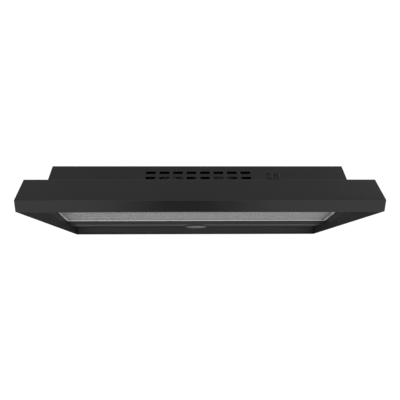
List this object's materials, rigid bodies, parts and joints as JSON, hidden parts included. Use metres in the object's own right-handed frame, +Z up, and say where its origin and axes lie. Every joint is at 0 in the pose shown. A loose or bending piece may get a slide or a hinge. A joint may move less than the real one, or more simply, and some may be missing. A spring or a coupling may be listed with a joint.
{
  "type": "under cabinet range hood",
  "caption": "Black under cabinet range hood with a stepped profile, vent slots, rocker switches, mesh grease filter, puck lamp, twin-wheel blower and top duct collar.",
  "frame": {"origin": "centre of the four cabinet screw holes, on the flat top face that meets the cabinet", "axes": "+Z up along the cabinet screws, +Y to the wall behind, -Y to the user, +X along the hood's width to the user's right"},
  "size_m": [0.759, 0.4442, 0.1814],
  "materials": {
    "black_enamel": "semi-gloss black baked enamel with a faint orange-peel texture",
    "galvanised_steel": "dull zinc with a faint spangle",
    "bright_steel": "bright plated steel",
    "wheel_steel": "dull galvanised sheet",
    "winding_steel": "varnished laminations",
    "bearing_bronze": "dull bronze",
    "isolator_rubber": "matte rubber",
    "loom_sleeve": "matte black sleeve",
    "moulded_plastic": "pale moulded plastic",
    "switch_plastic": "glossy black plastic",
    "rocker_plastic": "satin black plastic",
    "lamp_trim": "dark grey satin trim",
    "frosted_lens": "frosted",
    "lamp_metal": "plain aluminium",
    "circuit_board": "white solder mask",
    "filter_aluminium": "bright rolled aluminium",
    "filter_mesh": "expanded aluminium mesh",
    "filter_fibre": "dull aluminium fibre"
  },
  "bodies": {
    "hood": {"wrapper": "black_enamel", "side_panel_left": "black_enamel", "side_panel_right": "black_enamel", "back_panel": "black_enamel", "rear_knockout_plate": "black_enamel", "lamp_panel": "black_enamel", "filter_rail": "black_enamel", "filter_front_bracket": "galvanised_steel", "filter_clips": "bright_steel", "duct_collar": "galvanised_steel", "collar_screws": "bright_steel", "blower_deck": "galvanised_steel", "scroll_left": "galvanised_steel", "scroll_right": "galvanised_steel", "inlet_ring_left": "galvanised_steel", "inlet_ring_right": "galvanised_steel", "motor_can": "galvanised_steel", "motor_end_bell_left": "galvanised_steel", "motor_end_bell_right": "galvanised_steel", "motor_stator": "winding_steel", "motor_bearings": "bearing_bronze", "motor_isolator": "isolator_rubber", "motor_cradle": "galvanised_steel", "cradle_screws": "bright_steel", "junction_screws": "bright_steel", "capacitor": "moulded_plastic", "capacitor_strap": "galvanised_steel", "junction_box": "galvanised_steel", "junction_cover": "galvanised_steel", "cable_bushing": "moulded_plastic", "terminal_block": "moulded_plastic", "fan_switch_body": "switch_plastic", "light_switch_body": "switch_plastic", "switch_terminals": "bearing_bronze", "loom_switches": "loom_sleeve", "loom_motor": "loom_sleeve", "loom_lamp": "loom_sleeve", "lamp_bezel": "lamp_trim", "lamp_lens": "frosted_lens", "lamp_housing": "lamp_metal", "lamp_board": "circuit_board"},
    "blower_rotor": {"blower_wheel_left": "wheel_steel", "blower_wheel_right": "wheel_steel", "motor_shaft": "bright_steel", "motor_rotor": "winding_steel"},
    "damper": {"damper_rod": "bright_steel", "damper_flap": "galvanised_steel"},
    "fan_rocker": {"fan_rocker": "rocker_plastic"},
    "light_rocker": {"light_rocker": "rocker_plastic"},
    "filter": {"filter_frame": "filter_aluminium", "filter_mesh_lower": "filter_mesh", "filter_pad": "filter_fibre", "filter_mesh_upper": "filter_mesh", "ring_brackets": "bright_steel", "bracket_rivets": "bright_steel"},
    "pull_ring_left": {"pull_ring_left": "bright_steel"},
    "pull_ring_right": {"pull_ring_right": "bright_steel"}
  },
  "joints": [
    {"name": "blower_spin", "type": "hinge", "parent": "hood", "child": "blower_rotor", "pos_m": [0, 0.013, -0.0544], "axis": [1, 0, 0], "continuous": true},
    {"name": "damper_swing", "type": "hinge", "parent": "hood", "child": "damper", "pos_m": [0, 0.061, 0.014], "axis": [-1, 0, 0], "range_deg": [0, 75]},
    {"name": "fan_rocker_tilt", "type": "hinge", "parent": "hood", "child": "fan_rocker", "pos_m": [0.183, -0.14178, -0.03467], "axis": [1, 0, 0], "range_deg": [-10, 10]},
    {"name": "light_rocker_tilt", "type": "hinge", "parent": "hood", "child": "light_rocker", "pos_m": [0.201, -0.14178, -0.03467], "axis": [-1, 0, 0], "range_deg": [0, 20]},
    {"name": "filter_drop", "type": "hinge", "parent": "hood", "child": "filter", "pos_m": [0, 0.0074, -0.1265], "axis": [1, 0, 0], "range_deg": [0, 60]},
    {"name": "pull_ring_left_swing", "type": "hinge", "parent": "filter", "child": "pull_ring_left", "pos_m": [-0.19, -0.23473, -0.09399], "axis": [1, 0, 0], "range_deg": [-60, 75]},
    {"name": "pull_ring_right_swing", "type": "hinge", "parent": "filter", "child": "pull_ring_right", "pos_m": [0.19, -0.23473, -0.09399], "axis": [1, 0, 0], "range_deg": [-60, 75]}
  ]
}
